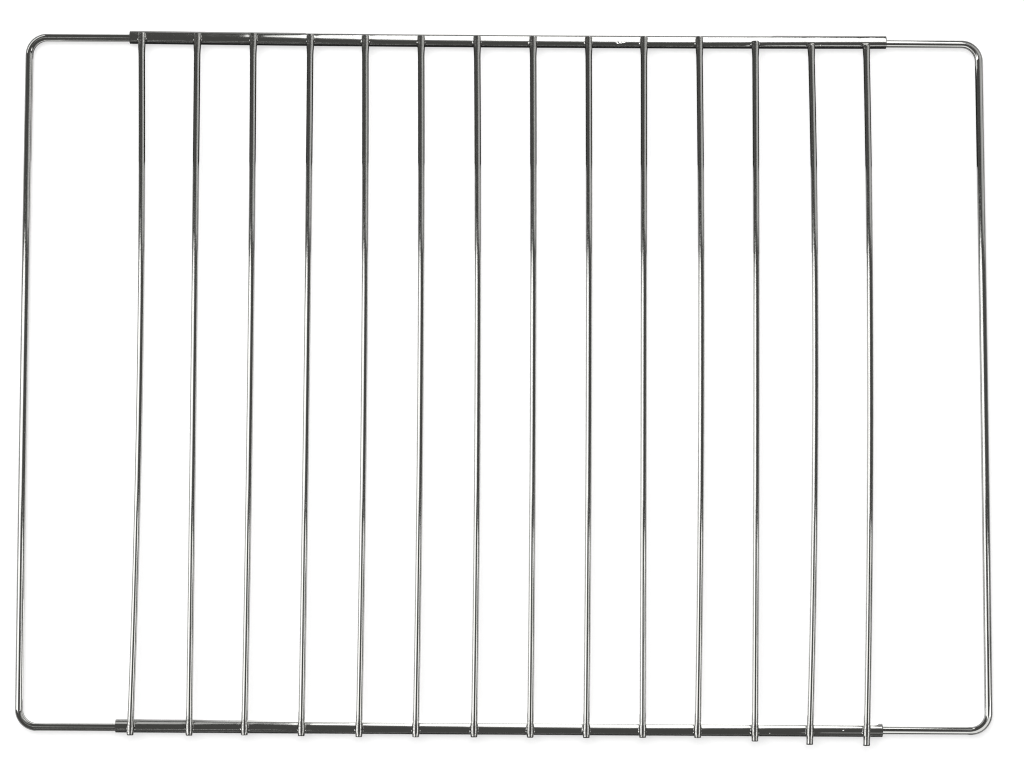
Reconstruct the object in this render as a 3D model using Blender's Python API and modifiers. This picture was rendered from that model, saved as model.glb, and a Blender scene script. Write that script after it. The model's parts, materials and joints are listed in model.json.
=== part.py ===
"""An extending oven shelf in chromed steel wire.

Two tubes carry a row of cross wires, welded on top. A wire loop slides in the tubes' open ends on
the left, and another on the right, so that the shelf fits ovens of different widths.

X runs along the tubes, Y from the front tube to the rear one, Z up. The origin is midway between the
tubes, on the surface that the shelf lies on. Every size is in metres.
"""

import math

import bmesh
import bpy
from mathutils import Matrix

MM = 0.001

# The loops' wire, and the tubes that it slides in
LOOP_WIRE_DIAMETER = 3.6 * MM
LEG_PLAY = 0.7 * MM
TUBE_WALL = 0.5 * MM
TUBE_LENGTH = 345.5 * MM
TUBE_SPACING = 313.0 * MM
TUBE_EDGE_BREAK = 0.12 * MM
TUBE_SIDES = 24
# The tubes were welded a little out of line with each other, along X
REAR_TUBE_SHIFT = 0.8 * MM
FRONT_TUBE_SHIFT = -1.3 * MM

# Cross wires
WIRE_DIAMETER = 3.0 * MM
WIRE_OVERHANG = 2.7 * MM
WIRE_EDGE_BREAK = 0.25 * MM
WIRE_SIDES = 12
# From the end of a tube to the first wire's centre line
ROW_MARGIN = 7.9 * MM
ROW_SHIFT = -0.9 * MM
SPAN_STATIONS = 7

# How each wire stands, from left to right, in millimetres: its place beside the even pitch, how far
# its rear end leans to the right, how far its middle bows to the right, how far it slipped forward
WIRE_OFFSETS_MM = (-0.9, -0.4, -0.6, -0.2, -0.1, 0.0, 0.5, 0.5, 0.4, 0.3, -0.1, 0.2, -0.1, -0.1)
WIRE_LEANS_MM = (0.7, -0.3, 0.3, 0.7, -0.1, -0.2, -0.9, -0.6, -0.5, -0.6, -0.1, -0.3, 0.3, -0.1)
WIRE_BOWS_MM = (1.7, 0.1, 0.6, 0.4, 0.9, 0.9, 0.9, 0.6, 0.6, 0.2, 1.3, 0.6, 2.2, 1.7)
WIRE_SLIPS_MM = (1.2, 1.2, 0.9, 1.1, 1.4, 1.3, 1.2, 1.2, 1.2, 1.0, 0.9, 2.3, 3.6, 4.0)

# Welds: the electrodes squash each wire over the tube, and its underside takes the tube's curve
WELD_SET_DOWN = 0.3 * MM
WELD_GAP = 0.3 * MM
WELD_WIDTH = 3.6 * MM
WELD_TOP_LOSS = 0.35 * MM
WELD_HALF_LENGTH = 3.6 * MM
WELD_FADE = 3.4 * MM

# End loops
LEG_GAP = 0.25 * MM
LEG_LEAN_ANGLE = math.radians(60)
LEG_TIP_SPACE = 15.8 * MM
LOOP_BEND_RADIUS = 8.0 * MM
LOOP_REACH = 45.0 * MM
LOOP_BAR_BOW = 0.2 * MM
# The right loop was bent out of square: its bar's front end is this much farther out than its rear end
RIGHT_BAR_SPLAY = 3.4 * MM
LOOP_EDGE_BREAK = 0.3 * MM
LOOP_SIDES = 16
BEND_STEPS = 6
BAR_STEPS = 6

# Values worked out from those above
LEG_RADIUS = LOOP_WIRE_DIAMETER / 2
BORE_RADIUS = LEG_RADIUS + LEG_PLAY
TUBE_RADIUS = BORE_RADIUS + TUBE_WALL
TUBE_Y = TUBE_SPACING / 2
WIRE_COUNT = len(WIRE_OFFSETS_MM)
WIRE_PITCH = (TUBE_LENGTH - 2 * ROW_MARGIN) / (WIRE_COUNT - 1)
WIRE_RADIUS = WIRE_DIAMETER / 2
WIRE_HALF_LENGTH = TUBE_Y + WIRE_OVERHANG
WIRE_Z = 2 * TUBE_RADIUS - WELD_SET_DOWN + WIRE_RADIUS
SADDLE_RADIUS = TUBE_RADIUS + WELD_GAP
LEG_OFFSET = LEG_PLAY - LEG_GAP
LEG_SIDE_OFFSET = LEG_OFFSET * math.sin(LEG_LEAN_ANGLE)
LEG_Z = TUBE_RADIUS - LEG_OFFSET * math.cos(LEG_LEAN_ANGLE)
LEG_LENGTH = TUBE_LENGTH / 2 + LOOP_BEND_RADIUS - LEG_TIP_SPACE
LOOP_BAR_X = TUBE_LENGTH / 2 + LOOP_REACH


def clear_scene():
    for obj in list(bpy.data.objects):
        bpy.data.objects.remove(obj, do_unlink=True)


def chrome(name, colour, roughness):
    """Bright plating: a metal of the given colour and roughness."""
    material = bpy.data.materials.new(name)
    material.use_nodes = True
    shader = material.node_tree.nodes["Principled BSDF"]
    shader.inputs["Base Color"].default_value = (*colour, 1.0)
    shader.inputs["Metallic"].default_value = 1.0
    shader.inputs["Roughness"].default_value = roughness
    return material


def add_to(collection, obj, material, parent):
    collection.objects.link(obj)
    obj.parent = parent
    if material:
        obj.data.materials.append(material)
    return obj


def flat_radius(radius, sides):
    """The radius over the corners of a polygon whose flats lie at the given radius."""
    return radius / math.cos(math.pi / sides)


def shade_round(mesh):
    mesh.shade_smooth()
    mesh.set_sharp_from_angle(angle=math.radians(40))


def tube_object(name):
    """A tube along X with open ends: its outer skin, thickened inwards, with the cut edges broken."""
    mesh = bpy.data.meshes.new(name)
    skin = bmesh.new()
    corners = flat_radius(TUBE_RADIUS, TUBE_SIDES)
    bmesh.ops.create_cone(
        skin,
        segments=TUBE_SIDES,
        radius1=corners,
        radius2=corners,
        depth=TUBE_LENGTH,
        cap_ends=False,
    )
    # Half a step about the axis turns a flat to face down, then the axis is laid along X
    half_step = Matrix.Rotation(math.pi / TUBE_SIDES, 3, "Z")
    along_x = Matrix.Rotation(math.pi / 2, 3, "Y")
    bmesh.ops.transform(skin, matrix=(along_x @ half_step).to_4x4(), verts=skin.verts)
    skin.to_mesh(mesh)
    skin.free()
    shade_round(mesh)

    obj = bpy.data.objects.new(name, mesh)
    wall = obj.modifiers.new("wall", "SOLIDIFY")
    wall.thickness = TUBE_WALL
    wall.offset = -1.0
    wall.use_even_offset = True
    edges = obj.modifiers.new("cut edges", "BEVEL")
    edges.width = TUBE_EDGE_BREAK
    edges.segments = 1
    edges.limit_method = "ANGLE"
    edges.angle_limit = math.radians(60)
    return obj


def round_wire(name, points, radius, sides, edge_break):
    """A curve through the points, as a round wire with flats facing up and down and its ends broken."""
    curve = bpy.data.curves.new(name, "CURVE")
    curve.dimensions = "3D"
    curve.twist_mode = "Z_UP"
    curve.bevel_depth = flat_radius(radius, sides)
    curve.bevel_resolution = (sides - 4) // 2
    curve.use_fill_caps = True
    spline = curve.splines.new("POLY")
    spline.points.add(len(points) - 1)
    for point, place in zip(spline.points, points):
        point.co = (*place, 1.0)
        point.tilt = math.pi / sides
    for tip in (spline.points[0], spline.points[-1]):
        tip.radius = 1.0 - edge_break / radius
    return bpy.data.objects.new(name, curve)


def weld_stations():
    """Places along a wire, from its tube's centre line, where its pressed end changes shape."""
    free_half = math.sqrt(SADDLE_RADIUS**2 - (WIRE_Z - WIRE_RADIUS - TUBE_RADIUS) ** 2)
    steps = (free_half / 2, free_half, WELD_HALF_LENGTH, WELD_HALF_LENGTH + WELD_FADE / 2,
             WELD_HALF_LENGTH + WELD_FADE)
    return [-step for step in reversed(steps)] + [0.0] + list(steps)


def wire_stations(slip):
    """The Y places of the rings along a wire that slipped forward by slip."""
    low = -WIRE_HALF_LENGTH - slip
    high = WIRE_HALF_LENGTH - slip
    span = TUBE_Y - WELD_HALF_LENGTH - WELD_FADE
    inner = [side * TUBE_Y + station for side in (-1, 1) for station in weld_stations()]
    inner += [span * (2 * step / (SPAN_STATIONS + 1) - 1) for step in range(1, SPAN_STATIONS + 1)]
    room = 2 * WIRE_EDGE_BREAK
    kept = sorted(y for y in inner if low + room < y < high - room)
    return [low, low + WIRE_EDGE_BREAK, *kept, high - WIRE_EDGE_BREAK, high]


def fade(distance):
    """1 over the weld, falling smoothly to 0 where the wire is round again."""
    share = min(max((distance - WELD_HALF_LENGTH) / WELD_FADE, 0.0), 1.0)
    return 1.0 - share * share * (3.0 - 2.0 * share)


def press_ends(mesh, centre_x):
    """Squashes the wire's ends over the tubes and seats its underside on them."""
    for vertex in mesh.vertices:
        x, y, z = vertex.co
        from_tube = abs(y) - TUBE_Y
        squash = fade(abs(from_tube))
        middle = centre_x(y)
        vertex.co.x = middle + (x - middle) * (1.0 + (WELD_WIDTH / WIRE_DIAMETER - 1.0) * squash)
        top = WIRE_RADIUS - WELD_TOP_LOSS * squash
        z = min(z, top)
        if abs(from_tube) < SADDLE_RADIUS:
            saddle = math.sqrt(SADDLE_RADIUS**2 - from_tube**2) + TUBE_RADIUS - WIRE_Z
            z = max(z, saddle)
        vertex.co.z = z


def mesh_from_curve(obj):
    """The curve's solid as a mesh object of the same name, with its caps welded on."""
    bpy.context.scene.collection.objects.link(obj)
    evaluated = obj.evaluated_get(bpy.context.evaluated_depsgraph_get())
    mesh = bpy.data.meshes.new_from_object(evaluated)
    name = obj.name
    bpy.data.objects.remove(obj, do_unlink=True)
    shell = bmesh.new()
    shell.from_mesh(mesh)
    bmesh.ops.remove_doubles(shell, verts=shell.verts, dist=0.001 * MM)
    bmesh.ops.recalc_face_normals(shell, faces=shell.faces)
    shell.to_mesh(mesh)
    shell.free()
    return bpy.data.objects.new(name, mesh)


def cross_wire(index):
    """One cross wire, bowed and leaning as this one does, with its pressed ends."""
    lean = WIRE_LEANS_MM[index] * MM
    bow = WIRE_BOWS_MM[index] * MM

    def centre_x(y):
        share = y / TUBE_Y
        return lean * share / 2 + bow * (1.0 - share * share)

    stations = wire_stations(WIRE_SLIPS_MM[index] * MM)
    points = [(centre_x(y), y, 0.0) for y in stations]
    curve = round_wire(f"cross_wire_{index + 1:02d}", points, WIRE_RADIUS, WIRE_SIDES, WIRE_EDGE_BREAK)
    obj = mesh_from_curve(curve)
    press_ends(obj.data, centre_x)
    shade_round(obj.data)
    even_x = ROW_SHIFT + (index - (WIRE_COUNT - 1) / 2) * WIRE_PITCH
    obj.location = (even_x + WIRE_OFFSETS_MM[index] * MM, 0.0, WIRE_Z)
    return obj


def bend(centre_x, centre_y, start, sweep):
    """Points round a corner of the loop, with both ends of the arc."""
    angles = (start + sweep * step / BEND_STEPS for step in range(BEND_STEPS + 1))
    return [
        (centre_x + LOOP_BEND_RADIUS * math.cos(angle), centre_y + LOOP_BEND_RADIUS * math.sin(angle))
        for angle in angles
    ]


def loop_path(rear_y, front_y, splay):
    """The right loop's centre line, from its rear leg's tip round the bar to its front leg's tip.

    X is measured from the bar's middle, outwards. The bar's front end is farther out by splay.
    """
    shift = splay / 2
    bar_rear = rear_y - LOOP_BEND_RADIUS
    bar_front = front_y + LOOP_BEND_RADIUS
    middle = (bar_rear + bar_front) / 2
    half = (bar_rear - bar_front) / 2
    path = [(-LEG_LENGTH, rear_y), (-LEG_LENGTH + LOOP_EDGE_BREAK, rear_y)]
    path += bend(-shift - LOOP_BEND_RADIUS, bar_rear, math.pi / 2, -math.pi / 2)
    for step in range(1, BAR_STEPS):
        share = 1.0 - 2.0 * step / BAR_STEPS
        path.append((LOOP_BAR_BOW * (1.0 - share * share) - shift * share, middle + half * share))
    path += bend(shift - LOOP_BEND_RADIUS, bar_front, 0.0, -math.pi / 2)
    path += [(-LEG_LENGTH + LOOP_EDGE_BREAK, front_y), (-LEG_LENGTH, front_y)]
    return path


def end_loop(name, side, rear_offset, front_offset, splay):
    """A U of wire on one side, -1 for left or 1 for right; its legs lie a little off the bores' axes."""
    path = loop_path(TUBE_Y + rear_offset, -TUBE_Y + front_offset, splay)
    points = [(side * x, y, 0.0) for x, y in path]
    obj = round_wire(name, points, LEG_RADIUS, LOOP_SIDES, LOOP_EDGE_BREAK)
    obj.location = (side * LOOP_BAR_X, 0.0, LEG_Z)
    return obj


def build():
    clear_scene()
    shelf = bpy.data.collections.new("extending_oven_shelf")
    bpy.context.scene.collection.children.link(shelf)
    frame = add_to(shelf, bpy.data.objects.new("shelf_frame", None), None, None)

    tube_chrome = chrome("tube_chrome", (0.56, 0.56, 0.55), 0.10)
    for name, y, shift in (
        ("rear_tube", TUBE_Y, REAR_TUBE_SHIFT),
        ("front_tube", -TUBE_Y, FRONT_TUBE_SHIFT),
    ):
        tube = add_to(shelf, tube_object(name), tube_chrome, frame)
        tube.location = (shift, y, TUBE_RADIUS)

    wire_chrome = chrome("wire_chrome", (0.55, 0.55, 0.54), 0.12)
    for index in range(WIRE_COUNT):
        add_to(shelf, cross_wire(index), wire_chrome, frame)

    # Both legs of the left loop lie to the front of their bores, and only the rear one of the right
    loop_chrome = chrome("loop_chrome", (0.57, 0.57, 0.56), 0.10)
    left = end_loop("left_end_loop", -1, -LEG_SIDE_OFFSET, -LEG_SIDE_OFFSET, 0.0)
    right = end_loop("right_end_loop", 1, -LEG_SIDE_OFFSET, 0.0, RIGHT_BAR_SPLAY)
    for loop in (left, right):
        add_to(shelf, loop, loop_chrome, frame)


build()
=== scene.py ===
"""The extending oven shelf on a white table, seen from above.

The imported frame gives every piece's place. Each wire, tube and loop is built again as a fine round
skin on the frame's own centre lines, with its weld marks, cut ends and plating.
"""

import json
import math

import bpy
import numpy as np
from mathutils import Matrix, Vector

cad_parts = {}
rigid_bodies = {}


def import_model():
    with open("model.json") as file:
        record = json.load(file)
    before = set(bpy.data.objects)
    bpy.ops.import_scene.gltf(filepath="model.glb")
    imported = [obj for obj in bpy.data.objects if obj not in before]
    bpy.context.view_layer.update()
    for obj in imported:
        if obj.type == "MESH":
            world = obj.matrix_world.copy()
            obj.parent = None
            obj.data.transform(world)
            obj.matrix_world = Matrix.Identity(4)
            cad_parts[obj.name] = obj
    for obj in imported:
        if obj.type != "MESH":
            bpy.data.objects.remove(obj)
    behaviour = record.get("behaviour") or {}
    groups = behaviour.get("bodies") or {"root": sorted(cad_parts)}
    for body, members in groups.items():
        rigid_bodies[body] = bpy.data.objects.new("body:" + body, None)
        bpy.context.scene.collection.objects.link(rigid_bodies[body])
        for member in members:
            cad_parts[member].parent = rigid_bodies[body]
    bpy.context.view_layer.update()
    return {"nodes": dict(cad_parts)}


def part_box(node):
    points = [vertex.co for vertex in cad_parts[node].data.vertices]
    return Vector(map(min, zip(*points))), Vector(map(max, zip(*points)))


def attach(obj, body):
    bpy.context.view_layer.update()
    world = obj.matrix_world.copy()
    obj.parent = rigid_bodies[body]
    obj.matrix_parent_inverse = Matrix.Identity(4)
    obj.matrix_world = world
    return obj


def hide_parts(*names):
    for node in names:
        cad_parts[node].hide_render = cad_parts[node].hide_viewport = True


MM = 0.001

# Sizes that the frame doesn't give
WIRE_COUNT = 14
BEND_RADIUS = 8.0 * MM
TUBE_WALL = 0.5 * MM
TUBE_RADIUS = 3.0 * MM
WIRE_RADIUS = 1.5 * MM
LOOP_RADIUS = 1.8 * MM
RIM_ROUNDING = 0.12 * MM
RIM_LENGTH = 0.6 * MM
END_ROUNDING = 0.3 * MM

# Small bends and trims: the legs' shift to the front, the wires' lean to the right, the rear
# tube's bow to the front, and how much shorter three wires are at the rear
LEG_PLAY = 0.27 * MM
WIRE_LEAN = 0.22 * MM
TUBE_BOW = 0.58 * MM
REAR_TRIMS = {12: 0.6 * MM, 13: 1.0 * MM, 14: 0.7 * MM}

# Pressed weld ends: how much wider (a ratio) and lower a wire gets, the lengths in front of each
# tube's crown, and the fades before and behind
WELD_WIDENING = 0.15
WELD_TOP_LOSS = 0.06 * MM
WELD_WOBBLE = 0.04
WELD_LENGTH = 3.2 * MM
LONG_FADE = 5.5 * MM
SHORT_WELD = 1.9 * MM
SHORT_FADE = 1.8 * MM
REAR_FADE = 4.3 * MM

# Dimples in the tubes beside the welds: the lean is in radians from the crown
DIMPLE_DEPTH = 0.07 * MM
DIMPLE_FLAT = 1.4 * MM
DIMPLE_REACH = 1.9 * MM
DIMPLE_LEAN = 0.95
DIMPLE_STATIONS = np.arange(-7, 7.01, 0.35) * MM

# Each weld's flash: the lean towards the front, the distance from the wire's middle, and the radii
FLASH = (
    (0.6, 1.84 * MM, (0.46 * MM, 1.1 * MM, 0.5 * MM)),
    (-0.25, 1.62 * MM, (0.24 * MM, 1.6 * MM, 0.4 * MM)),
)
# The wire's left and right side, and how plump the drops are there
FLASH_SIDES = ((-1.0, 1.0), (1.0, 0.85))
# How much the drops' leans, places and sizes (a ratio) differ by chance
LEAN_SPREAD = 0.06
PLACE_SPREAD = 0.06 * MM
SIZE_SPREAD = 0.12
# No drop lies nearer than this to a wire's rear end
END_CLEARANCE = 1.0 * MM
DROP_RINGS = 9
DROP_SIDES = 14
DROP_LUMPS = 0.08

# Spatter marks: x, the lean from the tube's crown towards the front, length and width
MARK_HEIGHT = 0.1 * MM
MARK_SUNK = 0.02 * MM
REAR_MARKS = (
    (52.3 * MM, 0.27, 1.7 * MM, 1.1 * MM),
    (50.6 * MM, 0.20, 1.6 * MM, 0.8 * MM),
    (53.6 * MM, 0.24, 2.0 * MM, 1.0 * MM),
    (51.0 * MM, 0.42, 1.2 * MM, 0.7 * MM),
    (143.5 * MM, 0.62, 0.8 * MM, 0.6 * MM),
)
FRONT_MARKS = ((153.6 * MM, -0.02, 0.8 * MM, 0.6 * MM), (120.5 * MM, 0.5, 0.5 * MM, 0.4 * MM))

# Reading the frame's rings: corners at one place, the corners of one ring's top, and the bar's
# straight part
SAME_PLACE = 1e-6
RING_REACH = 0.9 * MM
BAR_MARGIN = 0.5 * MM

# Smoothness
WIRE_SIDES = 40
TUBE_SIDES = 72
LOOP_SIDES = 48
END_STEPS = 5
RIM_STEPS = 4
NEAR_STEP = 0.4 * MM
FAR_STEP = 5.0 * MM
TUBE_STATIONS = 70
BORE_STATIONS = 30
BEND_STEPS = 28
BAR_STATIONS = 60
SHARP_ANGLE = math.radians(50)

# The plating's two shades, and the scorch near the welds
PALE_PLATING = (0.60, 0.60, 0.59, 1.0)
DARK_PLATING = (0.54, 0.54, 0.53, 1.0)
SCORCH = (0.34, 0.33, 0.31, 1.0)

RNG = np.random.default_rng(7)


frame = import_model()
nodes = frame["nodes"]

rear_low, rear_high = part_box("rear_tube")
TUBE_Y = (rear_low[1] + rear_high[1]) / 2


def points_of(node):
    """A CAD node's corners, one row each."""
    mesh = nodes[node].data
    flat = np.empty(3 * len(mesh.vertices))
    mesh.vertices.foreach_get("co", flat)
    return flat.reshape(-1, 3)


def skin(name, rings, material, body, stands_for=(), closed=False):
    """A surface through rings of points, with both ends capped, or joined where it is closed."""
    rings = np.asarray(rings)
    count, sides = rings.shape[:2]
    verts = rings.reshape(-1, 3)
    faces = []
    last = count if closed else count - 1
    for ring in range(last):
        here = ring * sides
        there = ((ring + 1) % count) * sides
        for side in range(sides):
            after = (side + 1) % sides
            faces.append((here + side, here + after, there + after, there + side))
    if not closed:
        faces.append(tuple(reversed(range(sides))))
        faces.append(tuple(range((count - 1) * sides, count * sides)))
    piece(name, verts, faces, material, body, stands_for)


def piece(name, verts, faces, material, body, stands_for=()):
    """A smooth mesh that rides on a body, and stands for CAD nodes where it is told which."""
    mesh = bpy.data.meshes.new(name)
    mesh.from_pydata([tuple(v) for v in verts], [], faces)
    mesh.validate()
    mesh.shade_smooth()
    mesh.set_sharp_from_angle(angle=SHARP_ANGLE)
    mesh.materials.append(material)
    obj = bpy.data.objects.new(name, mesh)
    bpy.context.scene.collection.objects.link(obj)
    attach(obj, body)
    if stands_for:
        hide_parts(*stands_for)


def smooth_step(share):
    """A soft step from 0 to 1 as the share goes from 0 to 1."""
    share = np.clip(share, 0.0, 1.0)
    return share * share * (3.0 - 2.0 * share)


# Materials


class Nodes:
    """Short ways to add and join the nodes of one material."""

    def __init__(self, name):
        self.material = bpy.data.materials.new(name)
        self.material.use_nodes = True
        self.tree = self.material.node_tree
        self.tree.nodes.clear()

    def add(self, kind, inputs=None, **settings):
        node = self.tree.nodes.new(kind)
        for key, value in settings.items():
            setattr(node, key, value)
        for key, value in (inputs or {}).items():
            if isinstance(value, bpy.types.NodeSocket):
                self.tree.links.new(value, node.inputs[key])
            else:
                node.inputs[key].default_value = value
        return node

    def math(self, operation, first, second=0.0, third=0.0):
        node = self.add("ShaderNodeMath", {0: first, 1: second, 2: third}, operation=operation)
        return node.outputs[0]

    def ramp(self, value, low, high, out_low=0.0, out_high=1.0):
        node = self.add(
            "ShaderNodeMapRange",
            {
                "Value": value,
                "From Min": low,
                "From Max": high,
                "To Min": out_low,
                "To Max": out_high,
            },
        )
        return node.outputs["Result"]

    def noise(self, vector, scale, detail=3.0, roughness=0.5):
        node = self.add(
            "ShaderNodeTexNoise",
            {"Vector": vector, "Scale": scale, "Detail": detail, "Roughness": roughness},
        )
        return node.outputs[0]

    def stretch(self, vector, scale):
        node = self.add("ShaderNodeVectorMath", {0: vector, 1: scale}, operation="MULTIPLY")
        return node.outputs[0]

    def mix_colour(self, factor, first, second):
        node = self.add("ShaderNodeMix", {0: factor, 6: first, 7: second}, data_type="RGBA")
        return node.outputs[2]

    def surface(self, shader):
        """Join the shader to the output, and give the finished material."""
        self.add("ShaderNodeOutputMaterial", {0: shader.outputs[0]})
        return self.material


def chrome(name, lengthwise, roughness, weld_line=None):
    """Bright chrome plating, with drawing lines along the wire and a little haze.

    lengthwise stretches the fine lines along X or Y. weld_line is how far each tube's line is from
    the middle, along Y. The plating is dull and mottled round it from the welding heat.
    """
    n = Nodes(name)
    place = n.add("ShaderNodeTexCoord").outputs["Object"]
    fine = n.noise(n.stretch(place, lengthwise), 900.0, 4.0, 0.55)
    cloud = n.noise(place, 160.0, 3.0)
    grime = n.noise(place, 2200.0, 2.0)
    colour = n.mix_colour(cloud, PALE_PLATING, DARK_PLATING)
    rough = n.ramp(cloud, 0.35, 0.7, roughness * 0.75, roughness * 1.4)
    height = n.math("MULTIPLY", fine, 0.25)
    if weld_line is not None:
        y = n.add("ShaderNodeSeparateXYZ", {0: place}).outputs["Y"]
        off = n.math("ABSOLUTE", n.math("SUBTRACT", n.math("ABSOLUTE", y), weld_line))
        near = n.ramp(off, 0.0062, 0.0032)
        mottle = n.noise(place, 1300.0, 3.0, 0.6)
        patch = n.math("MULTIPLY", near, n.ramp(mottle, 0.36, 0.62))
        colour = n.mix_colour(n.math("MULTIPLY", patch, 0.55), colour, SCORCH)
        rough = n.math("ADD", rough, n.math("MULTIPLY", patch, 0.16))
        height = n.math("ADD", height, n.math("MULTIPLY", n.math("MULTIPLY", near, mottle), 0.8))
    rough = n.math("ADD", rough, n.ramp(grime, 0.62, 0.8, 0.0, 0.1))
    bump = n.add("ShaderNodeBump", {"Strength": 0.22, "Distance": 0.00004, "Height": height})
    shader = n.add(
        "ShaderNodeBsdfPrincipled",
        {"Base Color": colour, "Metallic": 1.0, "Roughness": rough, "Normal": bump.outputs[0]},
    )
    return n.surface(shader)


wire_chrome = chrome("wire_plating", (1.0, 0.04, 1.0), 0.05, weld_line=TUBE_Y)
tube_chrome = chrome("tube_plating", (0.04, 1.0, 1.0), 0.10)
loop_chrome = chrome("loop_plating", (1.0, 0.3, 1.0), 0.05)
weld_metal = chrome("weld_metal", (1.0, 1.0, 1.0), 0.2)


# Cross wires


def wire_line(node):
    """Where a cross wire runs: its parabola x(y), its ends along Y and its axis's height."""
    points = points_of(node)
    stations = np.unique(np.round(points[:, 1], 6))
    middles = []
    for y in stations:
        xs = points[np.abs(points[:, 1] - y) < 2 * SAME_PLACE, 0]
        middles.append((xs.min() + xs.max()) / 2)
    curve = np.polyfit(stations, middles, 2)
    return curve, stations[0], stations[-1], points[:, 2].max() - WIRE_RADIUS


def tube_bow(x):
    """How far the rear tube is bowed towards the front at x: most in its middle."""
    share = (2.0 * x - rear_low[0] - rear_high[0]) / (rear_high[0] - rear_low[0])
    return TUBE_BOW * (1.0 - share**2)


def wire_stations(low, high):
    """Places along a wire, close together over the tubes and at its ends."""
    near = WELD_LENGTH + LONG_FADE
    inner = TUBE_Y - near
    span = np.linspace(-inner, inner, int(2 * inner / FAR_STEP))
    rear = np.arange(inner + NEAR_STEP, high - END_ROUNDING, NEAR_STEP)
    front = -np.arange(inner + NEAR_STEP, -low - END_ROUNDING, NEAR_STEP)
    return np.concatenate([front[::-1], span, rear])


def weld_share(y):
    """How much a wire is pressed wide along it: in front of each tube's crown, with fades."""
    share = np.zeros(len(y))
    rear_weld = (TUBE_Y, WELD_LENGTH, LONG_FADE)
    front_weld = (-TUBE_Y, SHORT_WELD, SHORT_FADE)
    for crown, length, fade in (rear_weld, front_weld):
        start = crown - length - fade
        rise = smooth_step((y - start) / fade)
        fall = smooth_step((y - crown) / REAR_FADE)
        share = np.maximum(share, rise * (1.0 - fall))
    return share


def wire_x(curve, y):
    """Where a wire's middle lies at y, with its lean, which grows towards the rear."""
    return np.polyval(curve, y) + WIRE_LEAN * (0.4 + 0.6 * smooth_step(y / TUBE_Y))


def rounded_end(radius):
    """Steps round a cut end: how far each is from the end, and its share of the radius."""
    turns = np.linspace(0.0, math.pi / 2, END_STEPS)
    inset = END_ROUNDING * (1.0 - np.sin(turns))
    shrink = 1.0 - (END_ROUNDING / radius) * (1.0 - np.cos(turns))
    return inset, shrink


def build_wire(index):
    """One cross wire, pressed wide and low where it is welded on the tubes."""
    node = f"cross_wire_{index:02d}"
    curve, low, high, axis_z = wire_line(node)
    high -= tube_bow(np.polyval(curve, high)) + REAR_TRIMS.get(index, 0.0)
    stations = wire_stations(low, high)
    inset, shrink = rounded_end(WIRE_RADIUS)
    y = np.concatenate([low + inset[::-1], stations, high - inset])
    share = np.concatenate([shrink[::-1], np.ones(len(stations)), shrink])
    angles = np.linspace(0.0, 2 * math.pi, WIRE_SIDES, endpoint=False)
    squash = weld_share(y)
    wobble = 1.0 + WELD_WOBBLE * squash * np.sin(y * 2600.0 + index * 2.1)
    x = np.sin(angles)[None, :] * WIRE_RADIUS * share[:, None]
    x = x * (1.0 + WELD_WIDENING * squash * wobble)[:, None]
    z = np.cos(angles)[None, :] * WIRE_RADIUS * share[:, None]
    flatter = 1.0 - (WELD_TOP_LOSS / WIRE_RADIUS * squash * wobble)[:, None]
    z = np.where(z > 0.0, z * flatter, z)
    rings = np.stack(
        [
            wire_x(curve, y)[:, None] + x,
            np.broadcast_to(y[:, None], x.shape),
            axis_z + z,
        ],
        axis=-1,
    )
    skin(f"wire_{index:02d}", rings, wire_chrome, "rack", (node,))
    return curve, high


curves, rear_ends = zip(*(build_wire(index) for index in range(1, WIRE_COUNT + 1)))


# Tubes


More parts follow.
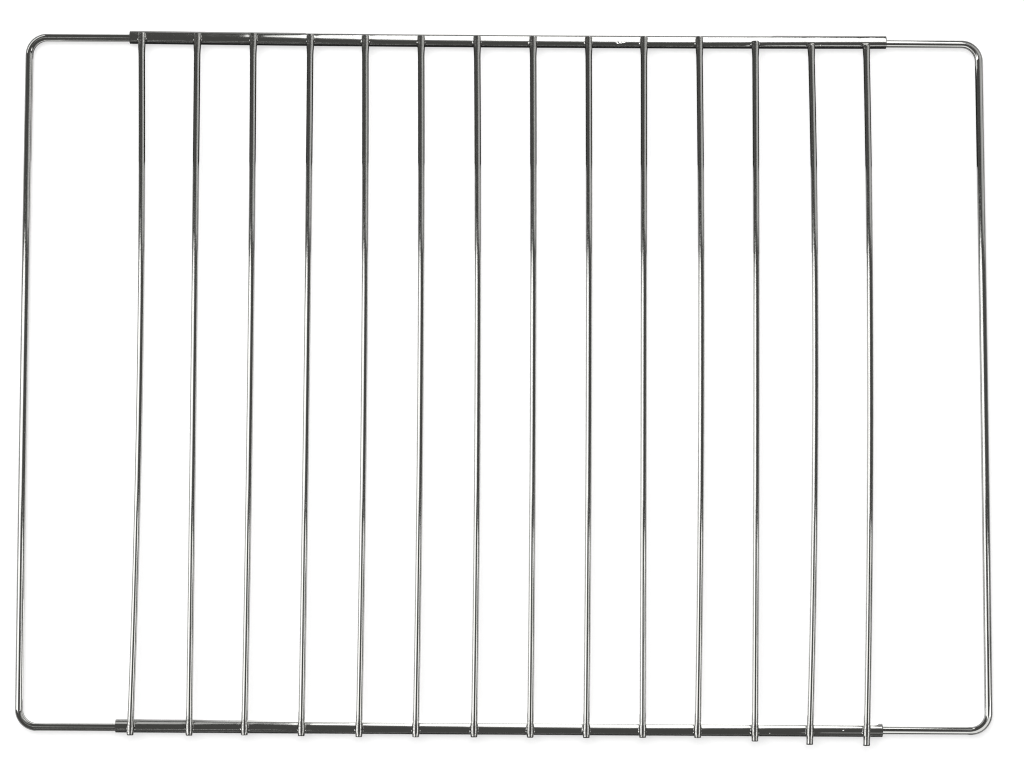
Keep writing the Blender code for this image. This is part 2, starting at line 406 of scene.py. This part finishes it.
def build_tube(node, name):
    """A hollow tube, dimpled beside each weld, with both of its cut rims rounded.

    It gives the place of the tube's axis, in Y and Z.
    """
    low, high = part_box(node)
    y = (low[1] + high[1]) / 2
    z = low[2] + TUBE_RADIUS
    crossings = np.array([wire_x(curve, y) for curve in curves])
    inner = TUBE_RADIUS - TUBE_WALL
    length = np.linspace(low[0] + RIM_LENGTH, high[0] - RIM_LENGTH, TUBE_STATIONS)
    close = np.concatenate([crossing + DIMPLE_STATIONS for crossing in crossings])
    close = close[(close > low[0] + MM) & (close < high[0] - MM)]
    outer_x = np.unique(np.round(np.concatenate([length, close]), 5))
    turns = np.linspace(0.0, math.pi / 2, RIM_STEPS)
    rim_in = RIM_ROUNDING * (1.0 - np.sin(turns))
    rim_drop = RIM_ROUNDING * (1.0 - np.cos(turns))
    # From left to right outside, round the right rim, back along the bore, round the left rim
    xs = [*(low[0] + rim_in[::-1]), *outer_x, *(high[0] - rim_in)]
    radii = [*(TUBE_RADIUS - rim_drop[::-1]), *(TUBE_RADIUS + 0 * outer_x)]
    radii += [*(TUBE_RADIUS - rim_drop)]
    back = np.linspace(high[0] - 2 * RIM_ROUNDING, low[0] + 2 * RIM_ROUNDING, BORE_STATIONS)
    xs += [*(high[0] - rim_in[::-1]), *back, *(low[0] + rim_in)]
    radii += [*(inner + rim_drop[::-1]), *(inner + 0 * back), *(inner + rim_drop)]
    angles = np.linspace(0.0, 2 * math.pi, TUBE_SIDES, endpoint=False)
    xs, radii = np.array(xs), np.array(radii)
    radius = np.repeat(radii[:, None], TUBE_SIDES, axis=1)
    outside = (radii > (TUBE_RADIUS + inner) / 2)[:, None]
    lean = np.where(angles > math.pi, angles - 2 * math.pi, angles)[None, :]
    for crossing in crossings:
        off = (np.abs(xs - crossing)[:, None] - DIMPLE_FLAT) / DIMPLE_REACH
        depth = np.exp(-np.clip(off, 0.0, None) ** 2) * np.exp(-((lean / DIMPLE_LEAN) ** 4))
        radius = radius - outside * DIMPLE_DEPTH * depth
    bow = tube_bow(xs)[:, None] if y > 0.0 else 0.0
    rings = np.stack(
        [
            np.broadcast_to(xs[:, None], radius.shape),
            y - bow + radius * np.sin(angles)[None, :],
            z + radius * np.cos(angles)[None, :],
        ],
        axis=-1,
    )
    rings = rings[:, ::-1]
    skin(name, rings, tube_chrome, "rack", (node,), closed=True)
    return y, z


# Loops


def loop_line(node, rear_play, front_play):
    """The loop's centre line from its rear tip to its front tip, on the frame's own rings.

    The plays are how much further each leg lies to the front in its bore than in the frame.
    """
    points = points_of(node)
    low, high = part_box(node)
    side = 1.0 if high[0] > 0 else -1.0
    top = points[points[:, 2] > points[:, 2].max() - SAME_PLACE]
    middles = []
    used = np.zeros(len(top), bool)
    for index, point in enumerate(top):
        if used[index]:
            continue
        group = np.linalg.norm(top[:, :2] - point[:2], axis=1) < RING_REACH
        used |= group
        middles.append(top[group].mean(axis=0))
    middles = np.array(middles)
    rear_y = high[1] - LOOP_RADIUS
    front_y = low[1] + LOOP_RADIUS
    tip_x = low[0] if side > 0 else high[0]
    bar = middles[np.abs(middles[:, 1]) < rear_y - BEND_RADIUS + BAR_MARGIN]
    order = np.argsort(-bar[:, 1])
    bar_y, bar_x = bar[order, 1], bar[order, 0]
    curve = np.polyfit(bar_y, bar_x, 2)
    rear_bar, front_bar = rear_y - BEND_RADIUS, front_y + BEND_RADIUS
    axis_z = (low[2] + high[2]) / 2
    path = [(tip_x, rear_y)]
    for centre_y, start in ((rear_bar, 90.0), (front_bar, 0.0)):
        centre_x = np.polyval(curve, centre_y) - side * BEND_RADIUS
        if start == 0.0:
            for y in np.linspace(rear_bar, front_bar, BAR_STATIONS)[1:-1]:
                path.append((np.polyval(curve, y), y))
        for turn in np.linspace(start, start - 90.0, BEND_STEPS + 1):
            angle = math.radians(turn)
            path.append(
                (
                    centre_x + side * BEND_RADIUS * math.cos(angle),
                    centre_y + BEND_RADIUS * math.sin(angle),
                )
            )
    path.append((tip_x, front_y))
    path = np.array(path)
    share = (path[:, 1] - front_y) / (rear_y - front_y)
    path[:, 1] -= front_play + (rear_play - front_play) * share
    return path, axis_z


def build_loop(node, name, body, rear_play, front_play):
    """A U-shaped wire with rounded tips."""
    path, axis_z = loop_line(node, rear_play, front_play)
    ahead = np.gradient(path, axis=0)
    ahead[0] = path[1] - path[0]
    ahead[-1] = path[-1] - path[-2]
    ahead /= np.linalg.norm(ahead, axis=1)[:, None]
    inset, shrink = rounded_end(LOOP_RADIUS)
    start = path[0] + ahead[0] * inset[::-1][:, None]
    finish = path[-1] - ahead[-1] * inset[:, None]
    path = np.concatenate([start, path[1:-1], finish])
    tips = [np.tile(tip, (END_STEPS, 1)) for tip in (ahead[0], ahead[-1])]
    ahead = np.concatenate([tips[0], ahead[1:-1], tips[1]])
    share = np.concatenate([shrink[::-1], np.ones(len(path) - 2 * END_STEPS), shrink])
    aside = np.stack([ahead[:, 1], -ahead[:, 0]], axis=1)
    angles = np.linspace(0.0, 2 * math.pi, LOOP_SIDES, endpoint=False)
    reach = LOOP_RADIUS * share[:, None]
    flat = np.sin(angles)[None, :] * reach
    rings = np.stack(
        [
            path[:, 0][:, None] + aside[:, 0][:, None] * flat,
            path[:, 1][:, None] + aside[:, 1][:, None] * flat,
            axis_z + np.cos(angles)[None, :] * reach,
        ],
        axis=-1,
    )
    skin(name, rings, loop_chrome, body, (node,))


# Weld flash


def drop(centre, radii, ahead, seed):
    """A lumpy drop of metal: an ellipsoid with its long axis along ahead, as verts and faces."""
    turn = Vector(ahead).normalized().to_track_quat("Y", "Z").to_matrix()
    centre = Vector(centre)
    verts = [centre + turn @ Vector((0.0, radii[1], 0.0))]
    for ring in range(1, DROP_RINGS):
        lean = math.pi * ring / DROP_RINGS
        for side in range(DROP_SIDES):
            angle = 2 * math.pi * side / DROP_SIDES
            lump = 1.0 + DROP_LUMPS * math.sin(3 * angle + seed) * math.sin(2 * lean + 1.7 * seed)
            across = radii[0] * lump * math.sin(lean) * math.cos(angle)
            up = radii[2] * lump * math.sin(lean) * math.sin(angle)
            verts.append(centre + turn @ Vector((across, radii[1] * math.cos(lean), up)))
    verts.append(centre - turn @ Vector((0.0, radii[1], 0.0)))
    last = len(verts) - 1
    faces = []
    for side in range(DROP_SIDES):
        after = (side + 1) % DROP_SIDES
        faces.append((0, 1 + after, 1 + side))
        for ring in range(DROP_RINGS - 2):
            here, there = 1 + ring * DROP_SIDES, 1 + (ring + 1) * DROP_SIDES
            faces.append((here + side, here + after, there + after, there + side))
        faces.append((last, last - DROP_SIDES + side, last - DROP_SIDES + after))
    return verts, faces


def build_flash(name, y, z, marks):
    """Metal squeezed out at both sides of each weld of a tube, and the tube's spatter marks."""
    verts, faces = [], []

    def put(parts):
        base = len(verts)
        verts.extend(parts[0])
        faces.extend(tuple(base + corner for corner in face) for face in parts[1])

    def place_on_tube(x, lean, sunk):
        reach = TUBE_RADIUS - sunk
        bow = tube_bow(x) if y > 0.0 else 0.0
        return (x, y - bow - reach * math.sin(lean), z + reach * math.cos(lean))

    for index, curve in enumerate(curves):
        for side, plump in FLASH_SIDES:
            for lean, off, radii in FLASH:
                lean += LEAN_SPREAD * RNG.standard_normal()
                place_y = y - TUBE_RADIUS * math.sin(lean)
                if place_y > rear_ends[index] - END_CLEARANCE:
                    continue
                x = wire_x(curve, place_y) + side * (off + PLACE_SPREAD * RNG.standard_normal())
                grow = plump * (1.0 + SIZE_SPREAD * RNG.standard_normal())
                grown = [grow * radius for radius in radii]
                ahead = (0.1 * side, -math.cos(lean), -math.sin(lean))
                put(drop(place_on_tube(x, lean, 0.0), grown, ahead, index + side))
    for x, lean, length, width in marks:
        radii = (length / 2, width / 2, MARK_HEIGHT)
        put(drop(place_on_tube(x, lean, MARK_SUNK), radii, (0.0, 1.0, 0.0), x * 900.0))
    piece(name, verts, faces, weld_metal, "rack")


for node, name, flash, marks in (
    ("rear_tube", "rear_tube_skin", "rear_welds", REAR_MARKS),
    ("front_tube", "front_tube_skin", "front_welds", FRONT_MARKS),
):
    y, z = build_tube(node, name)
    build_flash(flash, y, z, marks)

build_loop("left_end_loop", "left_loop_wire", "left_loop", 0.0, LEG_PLAY)
build_loop("right_end_loop", "right_loop_wire", "right_loop", LEG_PLAY, 0.0)


# Stage

FLOOR_RADIUS = 14.0
FLOOR_SIDES = 48
FLOOR_COLOUR = 0.46
FLOOR_CLOUD = 0.01
FLOOR_GLOW = 0.72
FLOOR_GLOW_IN_METAL = 0.10
CARD_WHITE = (1.0, 1.0, 0.99, 1.0)
# Painted shade: the black of strips that only the chrome shows, darkening the tubes' front sides
REFLECTED_SHADE_BLACK = (0.03, 0.03, 0.03, 1.0)
WORLD_COLOUR = (0.094, 0.094, 0.090, 1.0)


def plane(name, corners, material):
    """A flat sheet of the stage."""
    mesh = bpy.data.meshes.new(name)
    mesh.from_pydata(corners, [], [tuple(range(len(corners)))])
    mesh.materials.append(material)
    obj = bpy.data.objects.new(name, mesh)
    bpy.context.scene.collection.objects.link(obj)
    return obj


def floor_material():
    """A pale table that keeps the shadows, is white to the camera and shows in the chrome."""
    n = Nodes("table")
    place = n.add("ShaderNodeTexCoord").outputs["Object"]
    cloud = n.noise(place, 3.0, 2.0)
    pale = (*[FLOOR_COLOUR] * 3, 1.0)
    paler = (*[FLOOR_COLOUR + FLOOR_CLOUD] * 3, 1.0)
    paint = n.add("ShaderNodeBsdfDiffuse", {"Color": n.mix_colour(cloud, pale, paler)})
    path = n.add("ShaderNodeLightPath")
    metal = n.math("MULTIPLY", path.outputs["Is Glossy Ray"], FLOOR_GLOW_IN_METAL)
    eye = n.math("MAXIMUM", path.outputs["Is Camera Ray"], path.outputs["Is Transmission Ray"])
    glow = n.math("MAXIMUM", n.math("MULTIPLY", eye, FLOOR_GLOW), metal)
    shine = n.add("ShaderNodeEmission", {"Strength": glow})
    both = n.add("ShaderNodeAddShader", {0: paint.outputs[0], 1: shine.outputs[0]})
    gloss = n.add("ShaderNodeBsdfGlossy", {"Color": (1.0, 1.0, 1.0, 1.0), "Roughness": 0.18})
    fresnel = n.add("ShaderNodeFresnel", {"IOR": 1.6})
    layers = {0: fresnel.outputs[0], 1: both.outputs[0], 2: gloss.outputs[0]}
    return n.surface(n.add("ShaderNodeMixShader", layers))


corners = [
    (FLOOR_RADIUS * math.cos(angle), FLOOR_RADIUS * math.sin(angle), 0.0)
    for angle in np.linspace(0.0, 2 * math.pi, FLOOR_SIDES, endpoint=False)
]
plane("table_top", corners, floor_material())


def group_of(name, *starts):
    """A collection of the pieces whose names begin so, for a card to light."""
    group = bpy.data.collections.new(name)
    for obj in bpy.context.scene.objects:
        if obj.name.startswith(starts):
            group.objects.link(obj)
    return group


loops_and_welds = ("left_loop_wire", "right_loop_wire", "rear_welds", "front_welds")
lit_wires = group_of("lit_wires", "wire_", "table_top", *loops_and_welds)
lit_wire_rims = group_of("lit_wire_rims", "wire_")
lit_welds = group_of("lit_welds", "rear_welds", "front_welds")
lit_front_welds = group_of("lit_front_welds", "front_welds")
lit_loops = group_of("lit_loops", "left_loop_wire", "right_loop_wire")
lit_left_loop = group_of("lit_left_loop", "left_loop_wire")
lit_right_loop = group_of("lit_right_loop", "right_loop_wire")
lit_rear_tube = group_of("lit_rear_tube", "rear_tube_skin")
lit_front_tube = group_of("lit_front_tube", "front_tube_skin")


def rectangle(low_x, low_y, high_x, high_y):
    """The corners of a rectangle, for a card."""
    return [(low_x, low_y), (high_x, low_y), (high_x, high_y), (low_x, high_y)]


def card(name, corners, height, strength, lights=None, slope=None, spots=None):
    """A glowing card above the table, with corners in X and Y, that the camera doesn't see.

    It adds its light to what is behind it, and lights only the pieces that are named for it. slope
    is a level that the glow is multiplied by, raised to a power: (per_x, per_y, constant, power).
    spots is the scale of pale and dark blots on the card.
    """
    n = Nodes(name + "_glow")
    glow = strength
    place = n.add("ShaderNodeTexCoord").outputs["Object"]
    if slope:
        axes = n.add("ShaderNodeSeparateXYZ", {0: place})
        level = n.math("MULTIPLY_ADD", axes.outputs["X"], slope[0], slope[2])
        level = n.math("MULTIPLY_ADD", axes.outputs["Y"], slope[1], level)
        level = n.math("MINIMUM", n.math("MAXIMUM", level, 0.0), 1.0)
        glow = n.math("MULTIPLY", n.math("POWER", level, slope[3]), strength)
    if spots:
        blot = n.ramp(n.noise(place, spots, 2.0), 0.4, 0.6, out_low=0.6, out_high=1.25)
        glow = n.math("MULTIPLY", blot, glow)
    shine = n.add("ShaderNodeEmission", {"Strength": glow, "Color": CARD_WHITE})
    clear = n.add("ShaderNodeBsdfTransparent")
    both = n.add("ShaderNodeAddShader", {0: shine.outputs[0], 1: clear.outputs[0]})
    obj = plane(name, [(x, y, height) for x, y in corners], n.surface(both))
    obj.visible_camera = False
    obj.visible_shadow = False
    obj.visible_diffuse = False
    if lights:
        obj.light_linking.receiver_collection = lights
    return obj


def strip(name, centre, size, tilt, strength, lights=None, slope=None):
    """A glowing strip along X, tilted about X in degrees. slope counts from its middle."""
    half_x, half_y = size[0] / 2, size[1] / 2
    corners = rectangle(-half_x, -half_y, half_x, half_y)
    obj = card(name, corners, 0.0, strength, lights, slope)
    obj.matrix_world = Matrix.Translation(centre) @ Matrix.Rotation(math.radians(tilt), 4, "X")


# The wires' surroundings, high above the table: soft boxes on the left that fade towards the
# middle, a grey wall at the right rear and white cards at the right. Each has its corners, strength
# and slope
HIGH = 3.0
HIGH_CARDS = (
    (
        "left_box",
        [(-12.0, 0.14), (0.4, -0.012), (0.4, 0.276), (-12.0, 1.082)],
        1.85,
        (-0.8, 0.0, 0.06, 1.2),
    ),
    (
        "left_front_box",
        [(-12.0, -0.95), (-0.7, -0.45), (-0.7, 0.0), (-12.0, 0.14)],
        1.85,
        (-1.6, 0.0, -1.9, 1.0),
    ),
    (
        "right_wall",
        [
            (0.7, 0.4),
            (3.0, 0.527),
            (5.2, 0.718),
            (8.0, 0.994),
            (12.0, 1.41),
            (12.0, 6.0),
            (0.7, 6.0),
        ],
        0.75,
        (0.1, 0.0, 0.4, 1.0),
    ),
    ("right_card", [(1.7, -0.115), (5.0, -0.13), (5.0, -0.045), (1.5, -0.02)], 1.7, None),
    ("right_middle_card", [(1.0, -0.18), (5.0, -0.25), (5.0, -0.135), (1.0, -0.11)], 0.8, None),
    ("right_front_card", [(2.0, -0.6), (5.0, -0.95), (5.0, -0.255), (1.9, -0.2)], 1.7, None),
)
for name, corners, strength, slope in HIGH_CARDS:
    card(name, corners, HIGH, strength, lit_wires, slope)

card("weld_card", rectangle(-5.0, -2.2, 0.5, 1.2), HIGH - 0.01, 3.0, lit_welds)
card("right_weld_card", rectangle(0.6, -2.6, 5.0, -0.3), HIGH - 0.02, 1.5, lit_front_welds)

# The tubes' surroundings: for each tube, three cards over the rear with a curved front edge, of
# which a fainter one reaches further to the front. They fade towards the left. Cards that overlap
# lie at heights of their own, as one would hide the other's glow
LOW = 0.26
TUBE_CARD_SLOPE = (45.0, 0.0, 6.5, 1.0)
SOFT_EDGE = ((0.0, 1.7), (0.04, 0.25), (0.09, 0.12))
front_tube_edge = [
    (-0.133, 0.184),
    (-0.112, 0.09),
    (-0.07, 0.045),
    (-0.025, 0.0),
    (0.02, -0.03),
    (0.05, -0.04),
    (0.085, -0.035),
    (0.126, 0.0),
    (0.16, 0.05),
    (0.2, 0.08),
    (0.26, 0.1),
]
front_tube_back = [(0.26, 2.0), (-0.09, 2.0), (-0.112, 0.57), (-0.123, 0.445), (-0.133, 0.37)]
rear_tube_edge = [
    (-0.145, 0.36),
    (-0.118, 0.26),
    (-0.065, 0.17),
    (-0.004, 0.14),
    (0.016, 0.135),
    (0.055, 0.12),
    (0.093, 0.11),
    (0.13, 0.125),
    (0.177, 0.16),
    (0.26, 0.17),
]
rear_tube_back = [(0.26, 2.0), (-0.09, 2.0), (-0.11, 1.4), (-0.125, 1.0), (-0.145, 0.8)]
for name, lift, edge, back, lights in (
    ("front_tube_card", 0.0, front_tube_edge, front_tube_back, lit_front_tube),
    ("rear_tube_card", 0.003, rear_tube_edge, rear_tube_back, lit_rear_tube),
):
    for shift, strength in SOFT_EDGE:
        corners = [(x, y - shift) for x, y in edge] + back
        height = LOW + lift + 0.01 * shift
        card(f"{name}_{strength}", corners, height, strength, lights, TUBE_CARD_SLOPE)

# A blotched grey card for the front tube's left end, and a white one for the right loop's legs
grey_card = [(-0.6, 0.05), (-0.17, 0.05), (-0.11, 0.9), (-0.6, 0.9)]
card("left_grey_card", grey_card, LOW - 0.002, 0.62, lit_front_tube, spots=40.0)
card("leg_card", rectangle(0.18, 0.235, 0.262, 0.75), LOW - 0.004, 2.4, lit_wires)

# Small cards close to the loops: the corners, height, strength and what each lights
rear_bend_card = [(-0.2294, 0.1514), (-0.2134, 0.1674), (-0.2186, 0.1866), (-0.2486, 0.1566)]
front_bend_card = [
    (0.212, -0.182),
    (0.236, -0.182),
    (0.236, -0.14),
    (0.2235, -0.146),
    (0.212, -0.1605),
]
for name, corners, height, strength, lights in (
    ("rear_leg_card", rectangle(0.172, 0.1455, 0.21, 0.1522), 0.0065, 1.5, lit_right_loop),
    ("rear_bend_card", rear_bend_card, 0.0124, 1.3, lit_left_loop),
    ("left_bar_glow", rectangle(-0.215, -0.145, -0.205, 0.147), 0.0006, 0.55, lit_left_loop),
    ("left_leg_glow_rear", rectangle(-0.211, 0.1, -0.172, 0.1475), 0.0005, 0.5, lit_left_loop),
    ("left_leg_glow_front", rectangle(-0.211, -0.146, -0.172, -0.1), 0.0005, 0.8, lit_left_loop),
    ("front_leg_card", rectangle(0.172, -0.182, 0.212, -0.1605), 0.012, 1.3, lit_right_loop),
    ("front_bend_card", front_bend_card, 0.0122, 1.1, lit_right_loop),
):
    card(name, corners, height, strength, lights)

# Pale table under each leg and beside the left of each wire, brighter than elsewhere in the chrome
GLOW_HEIGHT = 0.0004
LEG_GLOW = 0.45
LEG_GLOW_REACH = 10.0 * MM
WIRE_GLOW = 0.8
WIRE_GLOW_ENDS = (-0.15, 0.06)
WIRE_GLOW_START = 1.0 * MM
WIRE_GLOW_WIDTH = 12.0 * MM
for side in (-1.0, 1.0):
    for y in (-TUBE_Y, TUBE_Y):
        corners = rectangle(side * 0.170, y - LEG_GLOW_REACH, side * 0.211, y + LEG_GLOW_REACH)
        card(f"leg_glow_{side}_{y}", corners, GLOW_HEIGHT, LEG_GLOW, lit_loops)

# Low strips that glow in the tubes' front sides, and two just above the table behind the tubes
BOUNCE_SLOPE = (20.0, 0.0, 3.1, 1.0)
for name, centre, size, tilt, strength, lights, slope in (
    ("low_strip_left", (-0.27, -0.745, 0.46), (0.24, 0.03), 20.0, 1.2, None, None),
    ("low_strip_right", (0.27, -0.28, 0.175), (0.22, 0.11), 35.0, 0.9, lit_rear_tube, None),
    ("low_strip_front", (0.27, -0.28, 0.13), (0.22, 0.05), 35.0, 0.25, lit_front_tube, None),
    ("rear_bounce", (0.015, 0.1632, 0.001), (0.214, 0.0065), 0.0, 1.1, lit_rear_tube, None),
    (
        "front_bounce",
        (0.015, -0.133, 0.0027),
        (0.31, 0.041),
        6.0,
        1.6,
        lit_front_tube,
        BOUNCE_SLOPE,
    ),
):
    strip(name, centre, size, tilt, strength, lights, slope)

for index, curve in enumerate(curves):
    near = [(np.polyval(curve, y) - WIRE_GLOW_START, y) for y in WIRE_GLOW_ENDS]
    far = [(x - WIRE_GLOW_WIDTH, y) for x, y in reversed(near)]
    card(f"table_glow_{index}", near + far, GLOW_HEIGHT, WIRE_GLOW, lit_wire_rims)


STRIP_REACH = 0.215
STRIP_HEIGHT = 0.0002


def dark_strip(name, low_y, high_y):
    """A black strip along the front side of a tube, seen only in the chrome: painted shade that
    darkens the tube's front flank.
    """
    n = Nodes(name + "_cloth")
    black = n.add("ShaderNodeBsdfDiffuse", {"Color": REFLECTED_SHADE_BLACK})
    corners = rectangle(-STRIP_REACH, low_y, STRIP_REACH, high_y)
    obj = plane(name, [(x, y, STRIP_HEIGHT) for x, y in corners], n.surface(black))
    obj.visible_camera = False
    obj.visible_diffuse = False
    obj.visible_shadow = False
    obj.visible_transmission = False


# Painted shade in the tubes' reflections: a black strip in front of each tube
dark_strip("dark_strip_rear", 0.1, 0.1535)
dark_strip("dark_strip_front", -0.187, -0.163)


# The lamp: a soft rectangle at the rear left, which the chrome doesn't show
KEY_PLACE = (-0.5, 1.1, 2.3)
KEY_SIZE = (3.0, 2.2)
KEY_POWER = 92.0

light = bpy.data.lights.new("key", "AREA")
light.shape = "RECTANGLE"
light.size, light.size_y = KEY_SIZE
light.energy = KEY_POWER
key = bpy.data.objects.new("key", light)
key.location = KEY_PLACE
key.rotation_euler = (-Vector(KEY_PLACE)).to_track_quat("-Z", "Y").to_euler()
key.visible_glossy = False
bpy.context.scene.collection.objects.link(key)

world = bpy.data.worlds.new("studio")
bpy.context.scene.world = world
world.use_nodes = True
background = world.node_tree.nodes["Background"]
background.inputs["Color"].default_value = WORLD_COLOUR
background.inputs["Strength"].default_value = 1.0


# Camera: its focal length in pixels of the picture's width, its place and its axes

IMAGE_WIDTH = 1024.0
FOCAL_LENGTH = 3000.0
SENSOR_WIDTH = 36.0
CAMERA_PLACE = (-0.000897, -0.081994, 1.362129)
CAMERA_BACKWARD = (-0.003245, -0.061089, 0.998127)
CAMERA_UPWARD = (-0.006348, 0.998113, 0.061068)
PIXEL_BLUR = 1.2

camera_data = bpy.data.cameras.new("camera")
camera_data.sensor_width = SENSOR_WIDTH
camera_data.lens = SENSOR_WIDTH * FOCAL_LENGTH / IMAGE_WIDTH
camera_data.clip_start = 0.01
camera = bpy.data.objects.new("camera", camera_data)
bpy.context.scene.collection.objects.link(camera)
backward = Vector(CAMERA_BACKWARD).normalized()
rightward = Vector(CAMERA_UPWARD).cross(backward).normalized()
upward = backward.cross(rightward)
axes = Matrix((rightward, upward, backward)).transposed()
camera.matrix_world = Matrix.Translation(CAMERA_PLACE) @ axes.to_4x4()
bpy.context.scene.camera = camera
bpy.context.scene.cycles.filter_width = PIXEL_BLUR
bpy.context.scene.view_settings.view_transform = "Standard"
